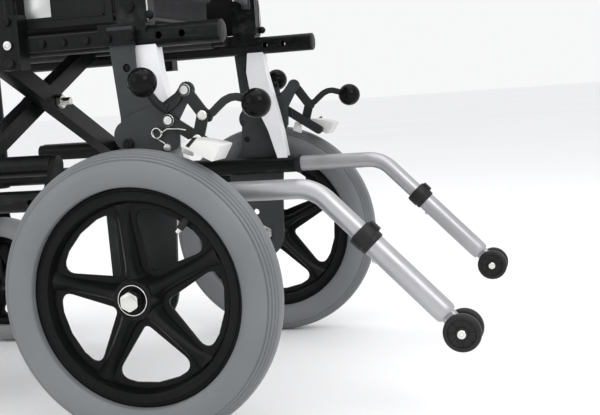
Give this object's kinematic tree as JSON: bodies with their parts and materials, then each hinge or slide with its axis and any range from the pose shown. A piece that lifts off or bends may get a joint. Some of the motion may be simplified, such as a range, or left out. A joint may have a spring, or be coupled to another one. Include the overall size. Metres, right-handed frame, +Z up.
{
  "type": "manual wheelchair",
  "caption": "Folding wheelchair with black frame, grey mag rear wheels, casters, toggle brakes, silver anti-tippers, sling seat, armrests and swing-away footrests.",
  "frame": {"origin": "on the floor, under the middle of the whole chair's bounding box", "axes": "+X forward, from the push handles towards the footrests; +Y to the seated person's left; +Z up"},
  "size_m": [1.131, 0.579, 0.9762],
  "materials": {
    "frame_black": "satin black powder coat",
    "plate_grey": "dark grey textured powder coat",
    "tube_silver": "satin clear-anodised",
    "steel": "zinc plated",
    "tyre_grey": "non-marking grey rubber",
    "caster_tyre": "light grey polyurethane",
    "rim_black": "glass-filled nylon, semi-gloss",
    "roller_black": "hard rubber",
    "lever_black": "dark satin",
    "shoe_white": "natural nylon",
    "grip_rubber": "ribbed",
    "pad_vinyl": "grained vinyl",
    "guard_plastic": "fine texture",
    "sling_fabric": "nylon weave",
    "seat_fabric": "knit cover",
    "back_fabric": "nylon weave with padding"
  },
  "bodies": {
    "left_frame": {"left_upper_rail": "frame_black", "left_lower_rail": "frame_black", "left_front_post": "frame_black", "left_axle_plate": "plate_grey", "left_strut": "tube_silver", "left_brake_plate": "plate_grey", "left_arm_socket": "frame_black", "left_back_post": "frame_black", "left_grip": "grip_rubber", "left_rear_axle": "steel", "left_tip_tube": "tube_silver", "back_upholstery": "back_fabric"},
    "right_frame": {"right_upper_rail": "frame_black", "right_lower_rail": "frame_black", "right_front_post": "frame_black", "right_axle_plate": "plate_grey", "right_strut": "tube_silver", "right_brake_plate": "plate_grey", "right_arm_socket": "frame_black", "right_back_post": "frame_black", "right_grip": "grip_rubber", "right_rear_axle": "steel", "right_tip_tube": "tube_silver"},
    "brace_a": {"brace_arm_a": "frame_black", "brace_bolt": "steel"},
    "brace_b": {"brace_arm_b": "frame_black"},
    "seat": {"seat_sling": "sling_fabric", "seat_cushion": "seat_fabric"},
    "left_rear_wheel": {"left_rear_tyre": "tyre_grey", "left_rear_rim": "rim_black"},
    "left_caster": {"left_caster_fork": "frame_black"},
    "left_caster_wheel": {"left_caster_tyre": "caster_tyre", "left_caster_rim": "rim_black"},
    "left_tip_slide": {"left_tip_sleeve": "tube_silver"},
    "left_tip_roller": {"left_tip_wheels": "roller_black"},
    "left_lever": {"left_brake_lever": "lever_black"},
    "left_link": {"left_brake_link": "lever_black"},
    "left_shoe": {"left_brake_shoe": "shoe_white"},
    "left_arm": {"left_armrest": "frame_black", "left_arm_pad": "pad_vinyl", "left_skirt_guard": "guard_plastic"},
    "left_legrest": {"left_hanger": "frame_black"},
    "left_footrest": {"left_footplate": "guard_plastic"},
    "right_rear_wheel": {"right_rear_tyre": "tyre_grey", "right_rear_rim": "rim_black"},
    "right_caster": {"right_caster_fork": "frame_black"},
    "right_caster_wheel": {"right_caster_tyre": "caster_tyre", "right_caster_rim": "rim_black"},
    "right_tip_slide": {"right_tip_sleeve": "tube_silver"},
    "right_tip_roller": {"right_tip_wheels": "roller_black"},
    "right_lever": {"right_brake_lever": "lever_black"},
    "right_link": {"right_brake_link": "lever_black"},
    "right_shoe": {"right_brake_shoe": "shoe_white"},
    "right_arm": {"right_armrest": "frame_black", "right_arm_pad": "pad_vinyl", "right_skirt_guard": "guard_plastic"},
    "right_legrest": {"right_hanger": "frame_black"},
    "right_footrest": {"right_footplate": "guard_plastic"}
  },
  "joints": [
    {"name": "fold", "type": "hinge", "parent": "left_frame", "child": "brace_a", "pos_m": [0.02547, 0.172, 0.3], "axis": [-1, 0, 0], "range_deg": [0, 45], "deforming": ["seat_sling", "seat_cushion", "back_upholstery"]},
    {"name": "brace_scissor", "type": "hinge", "parent": "brace_a", "child": "brace_b", "pos_m": [0.02547, 0, 0.375], "axis": [-1, 0, 0], "range_deg": [-90.5, 0]},
    {"name": "right_frame_hinge", "type": "hinge", "parent": "brace_b", "child": "right_frame", "pos_m": [0.02547, -0.172, 0.3], "axis": [-1, 0, 0], "range_deg": [0, 45.5]},
    {"name": "seat_lift", "type": "slide", "parent": "left_frame", "child": "seat", "axis": [0, 0, 1], "range_m": [0, 0.2003]},
    {"name": "left_wheel_spin", "type": "hinge", "parent": "left_frame", "child": "left_rear_wheel", "pos_m": [-0.20853, 0.2545, 0.15875], "axis": [0, 1, 0], "continuous": true},
    {"name": "left_caster_swivel", "type": "hinge", "parent": "left_frame", "child": "left_caster", "pos_m": [0.27147, 0.198, 0.24], "axis": [0, 0, -1], "continuous": true},
    {"name": "left_caster_spin", "type": "hinge", "parent": "left_caster", "child": "left_caster_wheel", "pos_m": [0.23147, 0.198, 0.1], "axis": [0, 1, 0], "continuous": true},
    {"name": "left_tip_extend", "type": "slide", "parent": "left_frame", "child": "left_tip_slide", "axis": [-0.6947, 0, -0.7193], "range_m": [0, 0.035]},
    {"name": "left_tip_spin", "type": "hinge", "parent": "left_tip_slide", "child": "left_tip_roller", "pos_m": [-0.54497, 0.198, 0.10418], "axis": [0, 1, 0], "continuous": true},
    {"name": "left_brake", "type": "hinge", "parent": "left_frame", "child": "left_lever", "pos_m": [-0.26503, 0.226, 0.3756], "axis": [0, -1, 0], "range_deg": [0, 18]},
    {"name": "left_brake_link_turn", "type": "hinge", "parent": "left_lever", "child": "left_link", "pos_m": [-0.28463, 0.23, 0.3474], "axis": [0, -1, 0], "range_deg": [-30.6, 0]},
    {"name": "left_brake_shoe_turn", "type": "hinge", "parent": "left_frame", "child": "left_shoe", "pos_m": [-0.24393, 0.226, 0.3442], "axis": [0, -1, 0], "range_deg": [0, 9.8]},
    {"name": "left_armrest_height", "type": "slide", "parent": "left_frame", "child": "left_arm", "axis": [0, 0, 1], "range_m": [0, 0.045]},
    {"name": "left_legrest_swing", "type": "hinge", "parent": "left_frame", "child": "left_legrest", "pos_m": [0.24947, 0.198, 0.396], "axis": [0, 0, 1], "range_deg": [0, 90]},
    {"name": "left_footplate_flip", "type": "hinge", "parent": "left_legrest", "child": "left_footrest", "pos_m": [0.44658, 0.177, 0.136], "axis": [-1, 0, 0], "range_deg": [-85, 0]},
    {"name": "right_wheel_spin", "type": "hinge", "parent": "right_frame", "child": "right_rear_wheel", "pos_m": [-0.20853, -0.2545, 0.15875], "axis": [0, 1, 0], "continuous": true},
    {"name": "right_caster_swivel", "type": "hinge", "parent": "right_frame", "child": "right_caster", "pos_m": [0.27147, -0.198, 0.24], "axis": [0, 0, 1], "continuous": true},
    {"name": "right_caster_spin", "type": "hinge", "parent": "right_caster", "child": "right_caster_wheel", "pos_m": [0.23147, -0.198, 0.1], "axis": [0, 1, 0], "continuous": true},
    {"name": "right_tip_extend", "type": "slide", "parent": "right_frame", "child": "right_tip_slide", "axis": [-0.6947, 0, -0.7193], "range_m": [0, 0.035]},
    {"name": "right_tip_spin", "type": "hinge", "parent": "right_tip_slide", "child": "right_tip_roller", "pos_m": [-0.54497, -0.198, 0.10418], "axis": [0, 1, 0], "continuous": true},
    {"name": "right_brake", "type": "hinge", "parent": "right_frame", "child": "right_lever", "pos_m": [-0.26503, -0.226, 0.3756], "axis": [0, -1, 0], "range_deg": [0, 18]},
    {"name": "right_brake_link_turn", "type": "hinge", "parent": "right_lever", "child": "right_link", "pos_m": [-0.28463, -0.23, 0.3474], "axis": [0, -1, 0], "range_deg": [-30.6, 0]},
    {"name": "right_brake_shoe_turn", "type": "hinge", "parent": "right_frame", "child": "right_shoe", "pos_m": [-0.24393, -0.226, 0.3442], "axis": [0, -1, 0], "range_deg": [0, 9.8]},
    {"name": "right_armrest_height", "type": "slide", "parent": "right_frame", "child": "right_arm", "axis": [0, 0, 1], "range_m": [0, 0.045]},
    {"name": "right_legrest_swing", "type": "hinge", "parent": "right_frame", "child": "right_legrest", "pos_m": [0.24947, -0.198, 0.396], "axis": [0, 0, -1], "range_deg": [0, 90]},
    {"name": "right_footplate_flip", "type": "hinge", "parent": "right_legrest", "child": "right_footrest", "pos_m": [0.44658, -0.177, 0.136], "axis": [1, 0, 0], "range_deg": [-85, 0]}
  ],
  "couplings": [
    {"joint": "brace_scissor", "follows": "fold", "ratio": -2},
    {"joint": "right_frame_hinge", "follows": "fold", "ratio": 1},
    {"joint": "seat_lift", "follows": "fold", "m_per_rad": 0.25377},
    {"joint": "left_brake_link_turn", "follows": "left_brake", "ratio": -1.67},
    {"joint": "left_brake_shoe_turn", "follows": "left_brake", "ratio": 0.535},
    {"joint": "right_brake_link_turn", "follows": "right_brake", "ratio": -1.67},
    {"joint": "right_brake_shoe_turn", "follows": "right_brake", "ratio": 0.535}
  ]
}
